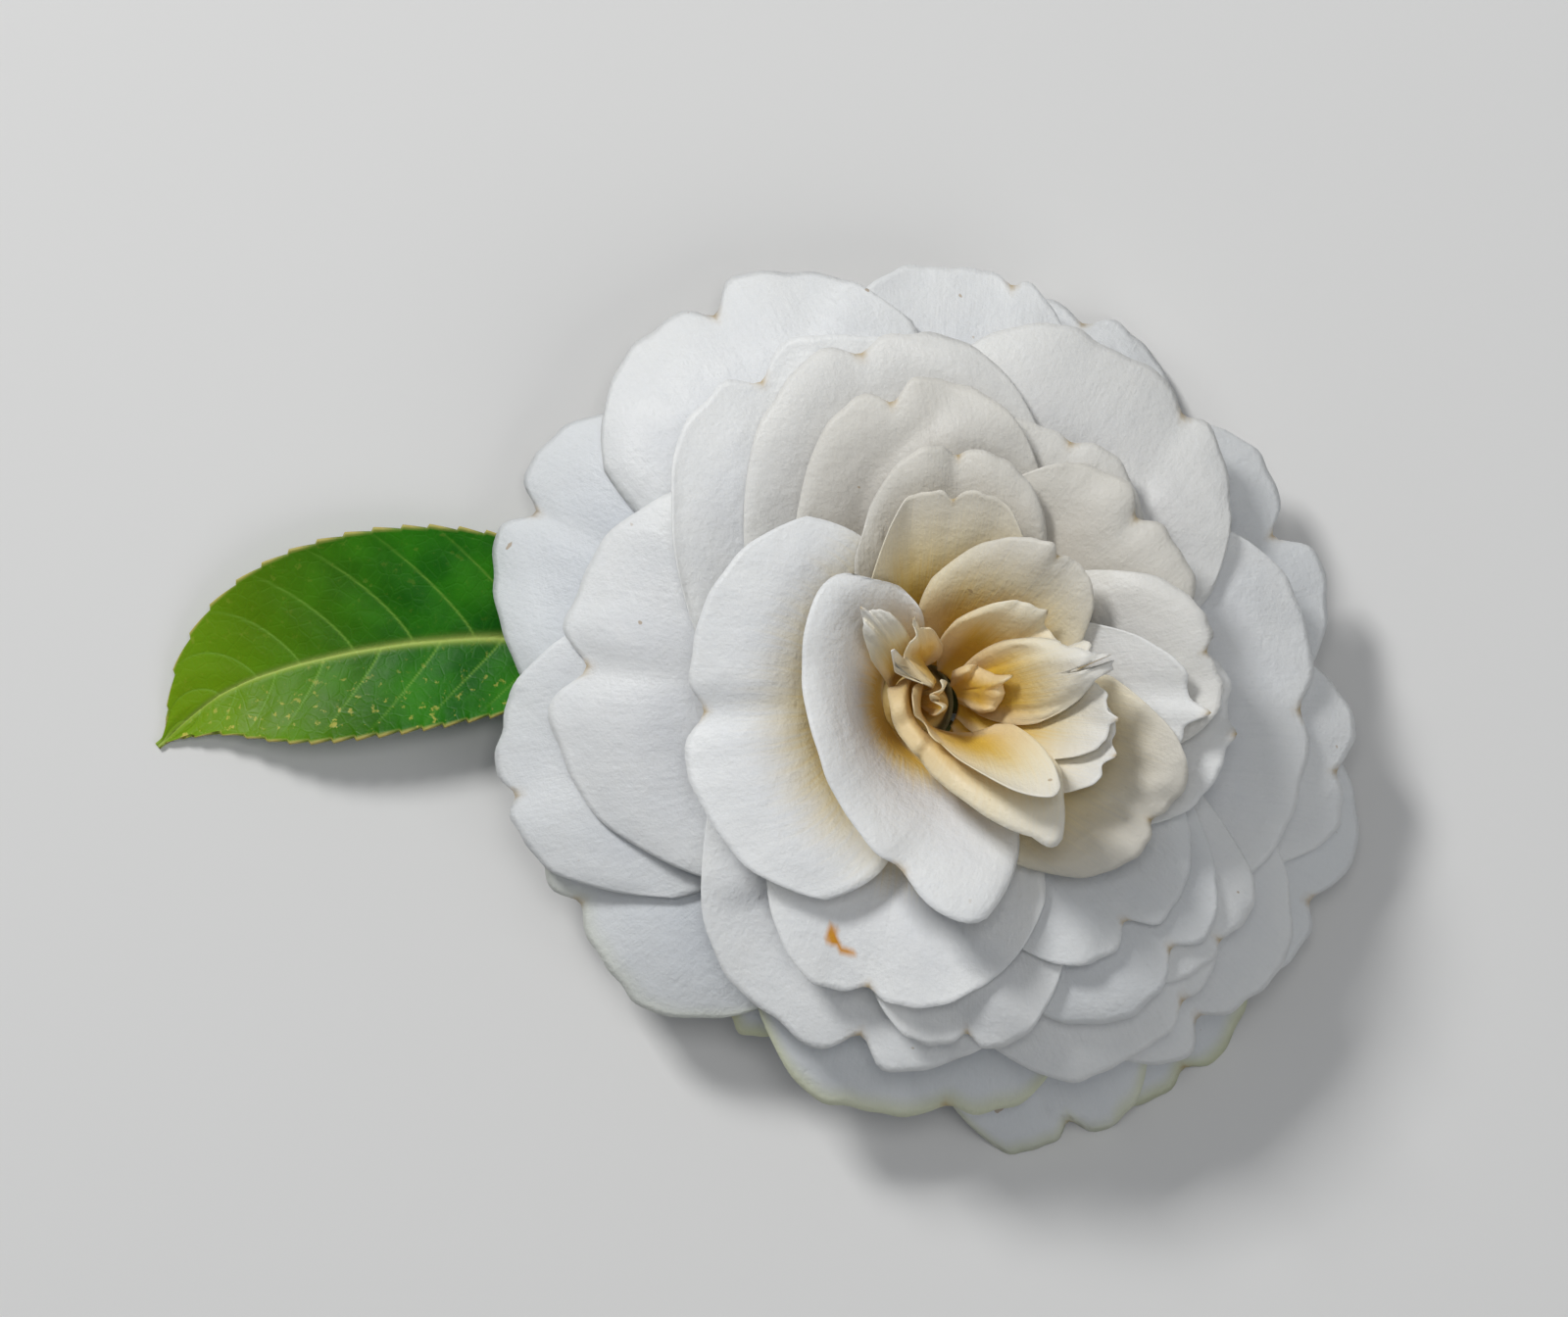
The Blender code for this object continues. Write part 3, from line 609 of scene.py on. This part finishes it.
def make_petal_material(fibres):
    """Living petal: cool white, cream to gold at the foot, fine lines and a brown point in the notch;
    painted shade as ivory-taupe and blue-grey on some petals, painted light as paler tips and margins.
    """
    material, tree, shader = new_material("petal_skin", 0.48, 0.35)
    uv = tree.nodes.new("ShaderNodeUVMap")
    uv.uv_map = "sheet"
    texture = tree.nodes.new("ShaderNodeTexCoord")
    pattern = use_group(tree, fibres, Sheet=uv.outputs["UV"], Across=70.0, Along=2.2)
    lines, blotches = pattern.outputs["Lines"], pattern.outputs["Blotches"]
    fringe = add_math(tree, "MULTIPLY", add_math(tree, "SUBTRACT", lines, 0.5), GOLD_FRINGE)
    foot = add_math(tree, "ADD", add_value(tree, "foot_mm"), fringe)
    body = add_mix(tree, add_ramp(tree, blotches, 0.3, 0.75), PETAL_WHITE, PETAL_SHADE)
    body = add_mix(tree, 0.35, PETAL_WHITE, body)
    line_mask = add_ramp(tree, lines, 0.50, 0.66)
    body = add_mix(tree, add_math(tree, "MULTIPLY", line_mask, 0.12), body, LINE_GREY)
    # painted shade: ivory-taupe on the centre petals that lie in shadow, over their own ivory tone
    body = add_mix(tree, add_value(tree, "ivory_and_shade"), body, PETAL_IVORY_SHADE)
    share = add_math(tree, "DIVIDE", foot, add_value(tree, "gold_mm"))
    body = add_mix(tree, add_ramp(tree, share, 0.85, 1.55, 0.9, 0.0), body, PETAL_CREAM)
    body = add_mix(tree, add_ramp(tree, share, 0.55, 1.12, 0.92, 0.0), body, PETAL_GOLD)
    # painted shade: blue-grey on the outer petals that lie in shadow
    body = add_mix(tree, add_math(tree, "MULTIPLY", add_value(tree, "grey"), 0.8), body, PETAL_SHADOW_GREY)
    rim = add_value(tree, "rim")
    # painted light: the petals grow paler towards the tip and margins, where they catch more light
    body = add_mix(tree, add_ramp(tree, rim, 0.55, 1.0, 0.0, 0.35), body, RIM_PAINTED_LIGHT)
    outer_rim = add_ramp(tree, rim, 0.92, 1.0, 0.0, 0.7)
    green = add_math(tree, "MULTIPLY", outer_rim, add_value(tree, "green_rim"))
    body = add_mix(tree, green, body, RIM_GREEN)
    body = add_mix(tree, add_math(tree, "MULTIPLY", add_value(tree, "mucro"), 0.85), body, TIP_BROWN)
    specks = add_noise(tree, texture.outputs["Object"], 330.0, 2.0, 0.5)
    body = add_mix(tree, add_ramp(tree, specks, 0.765, 0.79, 0.0, 0.75), body, SPECK_BROWN)
    body = add_mix(tree, add_value(tree, "pollen"), body, POLLEN_ORANGE)
    join(tree, body, shader.inputs["Base Color"])
    join(tree, add_ramp(tree, blotches, 0.2, 0.8, 0.42, 0.56), shader.inputs["Roughness"])
    shader.inputs["Subsurface Weight"].default_value = 0.25
    shader.inputs["Subsurface Radius"].default_value = (1.0, 0.92, 0.80)
    shader.inputs["Subsurface Scale"].default_value = 0.002
    shader.inputs["Sheen Weight"].default_value = 0.08
    cells = add_noise(tree, texture.outputs["Object"], 1700.0, 2.0, 0.6)
    crinkle = add_noise(tree, texture.outputs["Object"], 300.0, 4.0, 0.62)
    normal = add_bump(tree, lines, 0.00012, 0.5)
    normal = add_bump(tree, crinkle, 0.0006, 0.5, normal)
    normal = add_bump(tree, cells, 0.00012, 0.6, normal)
    join(tree, normal, shader.inputs["Normal"])
    return material


LEAF_DARK, LEAF_LIGHT = (0.005, 0.090, 0.001), (0.026, 0.190, 0.002)
LEAF_NET, LEAF_TIP = (0.04, 0.19, 0.010), (0.19, 0.33, 0.004)
LEAF_VEIN, LEAF_RIB = (0.20, 0.38, 0.05), (0.42, 0.52, 0.12)
LEAF_FLECK, LEAF_MARGIN = (0.62, 0.52, 0.10), (0.50, 0.42, 0.12)


def make_leaf_material():
    """Glossy leaf: deep green, pale midrib and side veins, a fine net, yellow teeth and speckles."""
    material, tree, shader = new_material("leaf_skin", 0.42, 0.14)
    texture = tree.nodes.new("ShaderNodeTexCoord")
    place_at = texture.outputs["Object"]
    large = add_noise(tree, place_at, 90.0, 3.0)
    net = tree.nodes.new("ShaderNodeTexVoronoi")
    net.feature = "DISTANCE_TO_EDGE"
    net.inputs["Scale"].default_value = 620.0
    join(tree, place_at, net.inputs["Vector"])
    net_line = add_ramp(tree, net.outputs["Distance"], 0.0, 0.12, 1.0, 0.0)
    body = add_mix(tree, add_ramp(tree, large, 0.35, 0.7), LEAF_DARK, LEAF_LIGHT)
    body = add_mix(tree, add_math(tree, "MULTIPLY", net_line, 0.16), body, LEAF_NET)
    toward_tip = add_ramp(tree, add_value(tree, "tipward"), 0.35, 0.95, 0.0, 0.85)
    body = add_mix(tree, toward_tip, body, LEAF_TIP)
    body = add_mix(tree, add_math(tree, "MULTIPLY", add_value(tree, "vein"), 0.75), body, LEAF_VEIN)
    body = add_mix(tree, add_math(tree, "MULTIPLY", add_value(tree, "rib"), 0.95), body, LEAF_RIB)
    fleck = add_ramp(tree, add_noise(tree, place_at, 900.0, 3.0, 0.6), 0.60, 0.70)
    fleck = add_math(tree, "MULTIPLY", fleck, add_value(tree, "flecked"))
    body = add_mix(tree, fleck, body, LEAF_FLECK)
    body = add_mix(tree, add_value(tree, "margin"), body, LEAF_MARGIN)
    join(tree, body, shader.inputs["Base Color"])
    join(tree, add_ramp(tree, large, 0.3, 0.7, 0.38, 0.52), shader.inputs["Roughness"])
    shader.inputs["Subsurface Weight"].default_value = 0.05
    shader.inputs["Subsurface Scale"].default_value = 0.0008
    normal = add_bump(tree, net_line, -0.00005, 0.35)
    normal = add_bump(tree, add_noise(tree, place_at, 1500.0, 2.0), 0.00006, 0.6, normal)
    join(tree, normal, shader.inputs["Normal"])
    return material


BARK_DARK, BARK_LIGHT = (0.10, 0.055, 0.025), (0.30, 0.20, 0.11)
BARK_GREEN, BARK_PORE = (0.28, 0.32, 0.12), (0.52, 0.42, 0.28)


def make_bark_material():
    """Young bark: brown with grey ridges along the stem and pale breathing pores."""
    material, tree, shader = new_material("young_bark", 0.72, 0.3)
    texture = tree.nodes.new("ShaderNodeTexCoord")
    place_at = texture.outputs["Object"]
    ridges = add_noise(tree, stretched(tree, place_at, (150.0, 900.0, 900.0)), 1.0, 4.0, 0.6)
    blotch = add_noise(tree, place_at, 300.0, 3.0)
    body = add_mix(tree, add_ramp(tree, ridges, 0.35, 0.65), BARK_DARK, BARK_LIGHT)
    body = add_mix(tree, add_ramp(tree, blotch, 0.55, 0.72, 0.0, 0.5), body, BARK_GREEN)
    pores = tree.nodes.new("ShaderNodeTexVoronoi")
    pores.inputs["Scale"].default_value = 700.0
    join(tree, place_at, pores.inputs["Vector"])
    pore = add_ramp(tree, pores.outputs["Distance"], 0.10, 0.22, 0.8, 0.0)
    body = add_mix(tree, pore, body, BARK_PORE)
    join(tree, body, shader.inputs["Base Color"])
    join(tree, add_bump(tree, ridges, 0.0004, 0.7), shader.inputs["Normal"])
    return material


def make_skin_material(name, dark, light, edge, roughness):
    """Matt green plant skin with blotches, fine grain and a dry edge."""
    material, tree, shader = new_material(name, roughness, 0.35)
    texture = tree.nodes.new("ShaderNodeTexCoord")
    place_at = texture.outputs["Object"]
    blotch = add_noise(tree, place_at, 260.0, 4.0)
    body = add_mix(tree, add_ramp(tree, blotch, 0.35, 0.68), dark, light)
    body = add_mix(tree, add_math(tree, "MULTIPLY", add_value(tree, "dry"), 0.85), body, edge)
    join(tree, body, shader.inputs["Base Color"])
    uneven = add_ramp(tree, blotch, 0.3, 0.7, roughness - 0.08, roughness + 0.1)
    join(tree, uneven, shader.inputs["Roughness"])
    grain = add_noise(tree, place_at, 1400.0, 3.0)
    join(tree, add_bump(tree, grain, 0.00015, 0.6), shader.inputs["Normal"])
    return material


# ---- pieces ----
PETAL_WALL = 0.16
IVORY_AND_SHADE = {        # share of ivory-taupe: the centre petals' own ivory, darkened as painted shade where they lie in shadow; others take theirs from their level
    "petal_inner_01": 0.2, "petal_inner_02": 1.0, "petal_inner_03": 1.0, "petal_inner_04": 0.9,
    "petal_inner_05": 0.0, "petal_middle_05": 0.3, "petal_middle_09": 0.4, "petal_middle_11": 0.1,
    "petal_middle_12": 0.6, "petal_middle_13": 0.05, "petal_middle_14": 0.7, "petal_middle_16": 0.8,
    "petal_middle_17": 0.5, "petal_middle_18": 0.0, "petal_middle_19": 0.8,
}
IVORY_AND_SHADE_OF_LEVEL = 0.45
SHADOW_GREYNESS = {      # share of blue-grey: painted shade on the outer petals that lie in shadow
    "petal_outer_01": 0.8, "petal_outer_02": 0.6, "petal_outer_03": 0.8, "petal_outer_05": 0.75,
    "petal_outer_06": 0.5, "petal_outer_07": 0.7, "petal_outer_08": 0.35, "petal_outer_10": 0.8,
    "petal_outer_13": 0.3, "petal_middle_08": 0.45, "petal_middle_11": 0.35,
}
GREEN_RIM = {     # strength of the yellow-green rim
    "petal_outer_01": 0.9, "petal_outer_02": 0.7, "petal_outer_03": 1.0, "petal_outer_07": 0.3,
    "petal_outer_10": 0.8,
}
GOLD_REACH = {    # how far the gold runs from the foot, millimetres; others take theirs from their level
    "petal_middle_13": 15.0, "petal_middle_18": 16.5, "petal_inner_02": 19.0, "petal_inner_03": 19.5,
    "petal_inner_04": 17.0, "petal_inner_05": 9.0, "petal_inner_06": 17.0, "petal_inner_07": 17.0,
    "petal_inner_08": 17.0, "petal_inner_09": 17.0, "petal_inner_10": 17.0, "petal_inner_11": 21.0,
    "petal_inner_12": 21.0, "petal_inner_13": 17.0, "petal_inner_14": 16.0, "petal_inner_15": 16.0,
}
GOLD_OF_LEVEL = (9.0, 4.0)            # reach of the gold at level 0, and what one level adds
POLLEN_PETAL = "petal_middle_13"
POLLEN_AT = ((-0.33, 0.825, 0.028, 0.030), (-0.28, 0.850, 0.035, 0.014), (-0.20, 0.872, 0.050, 0.012))


def pollen_marks(q, t):
    """Smears of pollen: round-ended spots, each with its place and half sizes across and along."""
    spots = [np.exp(-(((q - at) / wide) ** 2 + ((t - out) / long) ** 2) ** 2)
             for at, out, wide, long in POLLEN_AT]
    return np.clip(1.8 * np.max(spots, axis=0), 0, 1)


def make_petals(material):
    """The bloom's petals, each standing for its node."""
    q = np.linspace(-1, 1, COLUMNS + 1)[:, None]
    t = np.linspace(0, 1, ROWS + 1)[None, :]
    for name, (points, arc) in bloom().items():
        _, _, _, level, _, notch_at, *_ = PETALS[name]
        values = {
            "foot_mm": arc,
            "ivory_and_shade": np.array([[IVORY_AND_SHADE.get(name, IVORY_AND_SHADE_OF_LEVEL * level)]]),
            "gold_mm": np.array([[GOLD_REACH.get(name, GOLD_OF_LEVEL[0] + GOLD_OF_LEVEL[1] * level)]]),
            "grey": np.array([[SHADOW_GREYNESS.get(name, 0.0)]]),
            "green_rim": np.array([[GREEN_RIM.get(name, 0.0)]]),
            "pollen": pollen_marks(q, t) * (name == POLLEN_PETAL),
            "mucro": np.exp(-((q - notch_at) / 0.035) ** 2 - ((t - 1.0) / 0.018) ** 2),
            "rim": np.maximum(np.abs(q), t),
        }
        mesh = grid_mesh(name + "_skin", points, values)
        give_wall(add_piece(mesh, material, "petal", name), PETAL_WALL)


LEAF_WALL = 0.45
LEAF_TOOTH_SPACING, LEAF_TOOTH_DEPTH = 3.1, 0.55
SIDE_VEINS = 8
LEAF_GRID = (260, 100)


def make_leaf(material):
    """Leaf blade: carried midrib, toothed margin, sunken veins with the blade quilted between them.

    Side veins leave the midrib at even steps and sweep towards the tip; a point's place between
    them is the fraction of its own 'vein number', its step along the midrib less its sweep.
    """
    rows, columns = LEAF_GRID
    rib, side, outline = leaf_spine(rows)
    t = np.linspace(0.0, 1.0, rows + 1)[:, None]
    q = np.linspace(-1.0, 1.0, columns + 1)[None, :]
    width = np.where(q > 0, LEAF_UPPER_WIDTH, LEAF_LOWER_WIDTH)
    rise = np.where(q > 0, LEAF_UPPER_RISE, LEAF_LOWER_RISE)
    length = np.linalg.norm(np.gradient(rib, axis=0), axis=1).cumsum()[:, None]
    saw = np.mod(length / LEAF_TOOTH_SPACING, 1.0)
    half_width = np.maximum(outline[:, None] * width, 2.0)
    teeth = 1.0 + LEAF_TOOTH_DEPTH * (saw - 0.6) * np.abs(q) ** 14 / half_width
    across = outline[:, None] * q * width * teeth
    vein_number = t * SIDE_VEINS * 1.25 - 1.5 * np.abs(q) ** 1.25 + np.where(q > 0, 0.0, 0.45)
    gap = np.abs(np.mod(vein_number, 1.0) - 0.5) * 2.0
    side_vein = np.exp(-((1 - gap) / 0.045) ** 2) * (1 - np.abs(q) ** 3) * np.clip(10 * (1 - t), 0, 1)
    rib_line = np.exp(-(across / (0.75 * (1 - 0.7 * t))) ** 2)
    quilt = 0.42 * np.cos(np.pi * (1 - gap)) * (1 - np.abs(q) ** 2) * np.minimum(4 * np.abs(q), 1)
    up = outline[:, None] * rise * np.abs(q) ** 1.3 - 0.30 * rib_line - 0.10 * side_vein - 0.22 * quilt
    up = up + 0.35 * np.sin(9.0 * t + 3.0 * q) * np.abs(q) ** 3 * outline[:, None]
    x = rib[:, None, 0] + across * side[:, None, 0]
    y = rib[:, None, 1] + across * side[:, None, 1]
    points = np.stack([x, y, soft_max(rib[:, None, 2] + up, 0.3, 0.3)], axis=-1)
    edge = np.clip((np.abs(q) - 0.965) / 0.035, 0, 1) * np.clip(saw * 1.6, 0.25, 1)
    values = {"tipward": t + 0.0 * q, "vein": side_vein, "rib": rib_line, "margin": edge,
              "flecked": np.where(q < 0, 0.85, 0.12) * np.abs(q) ** 0.5 * (0.4 + 0.6 * t)}
    mesh = grid_mesh("leaf_blade", points, values)
    give_wall(add_piece(mesh, material, "leaf", "leaf"), LEAF_WALL)


TUBE_SIDES = 28


def tube_rings(route, count, radius_of, bumps):
    """Rings of points square to a smooth route; the radius is a function of the place along it."""
    path = smooth_route(route, count)
    tangent = np.gradient(path, axis=0)
    tangent /= np.linalg.norm(tangent, axis=1, keepdims=True)
    level = np.cross(np.array([0.0, 0.0, 1.0]) + 0.001, tangent)
    level /= np.linalg.norm(level, axis=1, keepdims=True)
    up = np.cross(tangent, level)
    angle = np.linspace(0, 2 * np.pi, TUBE_SIDES, endpoint=False)[None, :]
    t = np.linspace(0, 1, count)[:, None]
    radius = radius_of(t) * (1 + bumps * np.sin(3 * angle + 9 * t) * np.sin(40 * t + 2 * angle))
    return path[:, None] + radius[..., None] * (np.cos(angle)[..., None] * level[:, None]
                                                + np.sin(angle)[..., None] * up[:, None])


STALK_ROUTE = ((-17.5, 6.9, 3.3), *PETIOLE_ROUTE, (-3.6, 3.6, 3.7))   # on into the leaf and the twig


def make_stem(bark, green):
    """The slightly knobbly twig and the leaf's stalk."""
    def twig_radius(t):
        return TWIG_RADIUS * (1.0 - 0.05 * t + 0.03 * np.sin(26 * t))

    def stalk_radius(t):
        return PETIOLE_RADIUS * (0.92 + 0.12 * t ** 2)

    twig = tube_rings(TWIG_ROUTE, 60, twig_radius, 0.02)
    add_piece(closed_mesh("twig_bark", twig), bark, "bark", "twig")
    stalk = tube_rings(STALK_ROUTE, 40, stalk_radius, 0.015)
    add_piece(closed_mesh("leaf_stalk", stalk), green, "petiole", "petiole")


BRACT_WALL = 0.55


def make_calyx(sepal_skin, core_skin):
    """Five bracts and the core that carries the petals."""
    for number in range(SEPAL_COUNT):
        points = sepal_sheet(number, 24, 18)
        q = np.abs(np.linspace(-1, 1, points.shape[0]))[:, None]
        t = np.linspace(0, 1, points.shape[1])[None, :]
        values = {"dry": np.clip((np.maximum(q, t) - 0.84) / 0.16, 0, 1)}
        mesh = grid_mesh(f"bract_{number + 1}", points, values)
        give_wall(add_piece(mesh, sepal_skin, "sepal", f"sepal_{number + 1}"), BRACT_WALL)
    profile = np.array(RECEPTACLE_PROFILE)[::-1]
    knots = np.linspace(0, len(profile) - 1, 60)
    radius = np.interp(knots, np.arange(len(profile)), profile[:, 0])[:, None]
    height = np.interp(knots, np.arange(len(profile)), profile[:, 1])[:, None]
    radius = np.maximum(radius, 0.05)
    angle = np.linspace(0, 2 * np.pi, 48, endpoint=False)[None, :]
    x, y, z = lean(radius * np.cos(angle), radius * np.sin(angle), height + 0.0 * angle)
    rings = np.stack([x + BLOOM_X, y + BLOOM_Y, z], axis=-1)
    add_piece(closed_mesh("flower_core", rings), core_skin, "receptacle", "receptacle")


# ---- stage ----
CAMERA_AT = (3.7, 5.7, 810.0)
CAMERA_LENS = 150.0
FLOOR_HALF_SIZE, FLOOR_HEIGHT = 1500.0, -0.05
FLOOR_COLOUR = (0.74, 0.735, 0.72)
LAMPS = (         # name, place and size in metres, watts
    ("key", (-0.52, 0.70, 0.80), 0.26, 9.4),
    ("fill", (0.6, -0.5, 0.7), 0.6, 1.6),
    ("top", (0.05, 0.15, 0.95), 0.3, 1.5),
)
LAMP_TARGET = (0.018, 0.0, 0.02)
SKY_COLOUR, SKY_STRENGTH = (0.80, 0.86, 0.95), 0.16


def make_stage():
    """Camera looking down on the bloom, pale floor, soft key lamp at the upper left, fill and top."""
    camera = bpy.data.objects.new("camera", bpy.data.cameras.new("camera"))
    camera.data.lens = CAMERA_LENS
    camera.data.clip_start = 0.01
    camera.location = [value * MM for value in CAMERA_AT]
    bpy.context.scene.collection.objects.link(camera)
    bpy.context.scene.camera = camera
    ends = (-FLOOR_HALF_SIZE, FLOOR_HALF_SIZE)
    floor = grid_mesh("floor", np.array([[[x, y, FLOOR_HEIGHT] for y in ends] for x in ends]))
    material, _, shader = new_material("pale_floor", 0.85, 0.2)
    shader.inputs["Base Color"].default_value = (*FLOOR_COLOUR, 1.0)
    floor.materials.append(material)
    ground = bpy.data.objects.new("floor", floor)
    bpy.context.scene.collection.objects.link(ground)
    for name, spot, size, power in LAMPS:
        light = bpy.data.objects.new(name, bpy.data.lights.new(name, "AREA"))
        light.data.size = size
        light.data.energy = power
        light.location = spot
        aim = Vector(LAMP_TARGET) - Vector(spot)
        light.rotation_euler = aim.to_track_quat("-Z", "Y").to_euler()
        bpy.context.scene.collection.objects.link(light)
    world = bpy.data.worlds.new("soft_studio")
    bpy.context.scene.world = world
    world.use_nodes = True
    sky = world.node_tree.nodes["Background"]
    sky.inputs["Color"].default_value = (*SKY_COLOUR, 1.0)
    sky.inputs["Strength"].default_value = SKY_STRENGTH
    bpy.context.scene.view_settings.view_transform = "Standard"


SKINS = {         # dark, light and dry-edge colour, and roughness
    "stalk_skin": ((0.12, 0.20, 0.04), (0.24, 0.34, 0.09), (0.30, 0.20, 0.10), 0.45),
    "bract_skin": ((0.16, 0.19, 0.05), (0.36, 0.38, 0.14), (0.22, 0.13, 0.06), 0.6),
    "core_skin": ((0.62, 0.42, 0.12), (0.78, 0.62, 0.28), (0.40, 0.30, 0.10), 0.6),
}


def main():
    """Make every piece."""
    make_stage()
    make_petals(make_petal_material(make_fibre_group()))
    make_leaf(make_leaf_material())
    skins = {name: make_skin_material(name, *looks) for name, looks in SKINS.items()}
    make_stem(make_bark_material(), skins["stalk_skin"])
    make_calyx(skins["bract_skin"], skins["core_skin"])


main()
